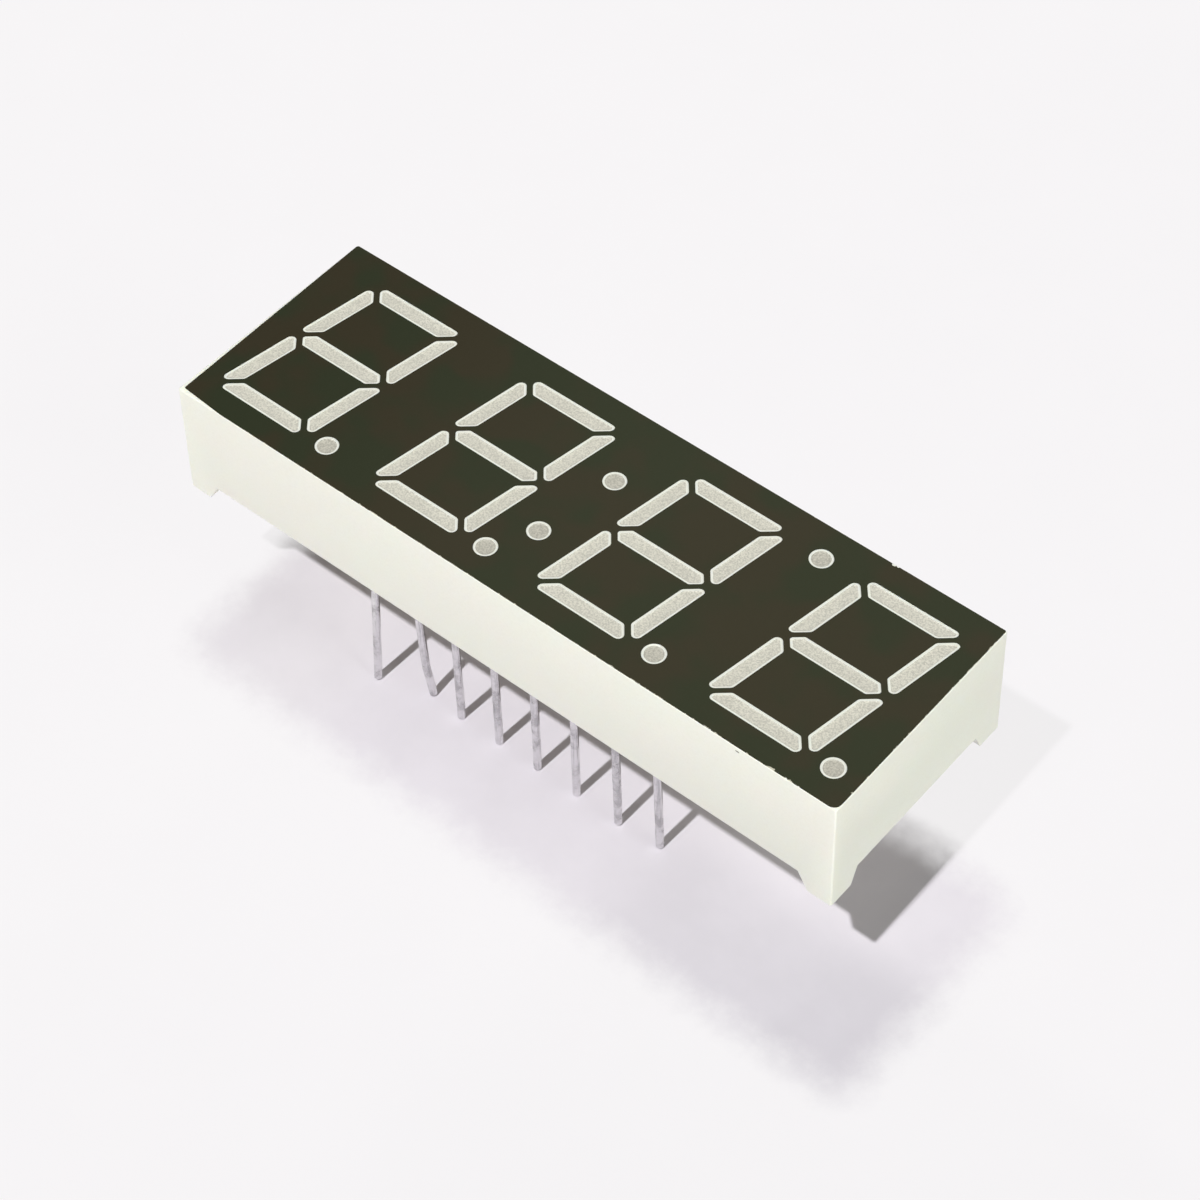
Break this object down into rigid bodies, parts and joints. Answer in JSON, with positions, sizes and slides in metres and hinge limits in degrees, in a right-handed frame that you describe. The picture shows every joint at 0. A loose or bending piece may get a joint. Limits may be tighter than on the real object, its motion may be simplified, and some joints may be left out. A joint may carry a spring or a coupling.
{
  "type": "seven segment display module",
  "caption": "LED clock display with slanted seven segment digits, decimal points, a colon and an upper dot, dark face, white body and two rows of leads.",
  "frame": {"origin": "centre of the footprint, at the level of the lead tips", "axes": "+X along the digits in reading order, +Y towards the top of the digits, +Z out of the face"},
  "size_m": [0.0406, 0.0132, 0.0145],
  "materials": {
    "housing": "moulded white plastic, satin",
    "face_ink": "printed dark grey ink, matt",
    "segment_resin": "diffusing cast resin, satin",
    "dot_resin": "diffusing cast resin, satin",
    "circuit_board": "glass-epoxy laminate, satin",
    "led_die": "semiconductor chip",
    "bond_wire": "fine gold-coloured wire",
    "solder": "soft solder, satin",
    "potting": "cured epoxy, glossy",
    "pin_tin": "tin-plated wire, satin"
  },
  "bodies": {
    "root": {"housing": "housing", "face_ink": "face_ink", "digit_1_segment_a": "segment_resin", "digit_1_segment_b": "segment_resin", "digit_1_segment_c": "segment_resin", "digit_1_segment_d": "segment_resin", "digit_1_segment_e": "segment_resin", "digit_1_segment_f": "segment_resin", "digit_1_segment_g": "segment_resin", "digit_2_segment_a": "segment_resin", "digit_2_segment_b": "segment_resin", "digit_2_segment_c": "segment_resin", "digit_2_segment_d": "segment_resin", "digit_2_segment_e": "segment_resin", "digit_2_segment_f": "segment_resin", "digit_2_segment_g": "segment_resin", "digit_3_segment_a": "segment_resin", "digit_3_segment_b": "segment_resin", "digit_3_segment_c": "segment_resin", "digit_3_segment_d": "segment_resin", "digit_3_segment_e": "segment_resin", "digit_3_segment_f": "segment_resin", "digit_3_segment_g": "segment_resin", "digit_4_segment_a": "segment_resin", "digit_4_segment_b": "segment_resin", "digit_4_segment_c": "segment_resin", "digit_4_segment_d": "segment_resin", "digit_4_segment_e": "segment_resin", "digit_4_segment_f": "segment_resin", "digit_4_segment_g": "segment_resin", "digit_1_decimal_point": "dot_resin", "digit_2_decimal_point": "dot_resin", "digit_3_decimal_point": "dot_resin", "digit_4_decimal_point": "dot_resin", "colon_upper": "dot_resin", "colon_lower": "dot_resin", "upper_dot": "dot_resin", "circuit_board": "circuit_board", "led_dies": "led_die", "bond_wires": "bond_wire", "solder_joints": "solder", "back_potting": "potting", "front_pin_1": "pin_tin", "front_pin_2": "pin_tin", "front_pin_3": "pin_tin", "front_pin_4": "pin_tin", "front_pin_5": "pin_tin", "front_pin_6": "pin_tin", "front_pin_7": "pin_tin", "front_pin_8": "pin_tin", "rear_pin_1": "pin_tin", "rear_pin_2": "pin_tin", "rear_pin_3": "pin_tin", "rear_pin_4": "pin_tin", "rear_pin_5": "pin_tin", "rear_pin_6": "pin_tin", "rear_pin_7": "pin_tin", "rear_pin_8": "pin_tin"}
  },
  "joints": []
}
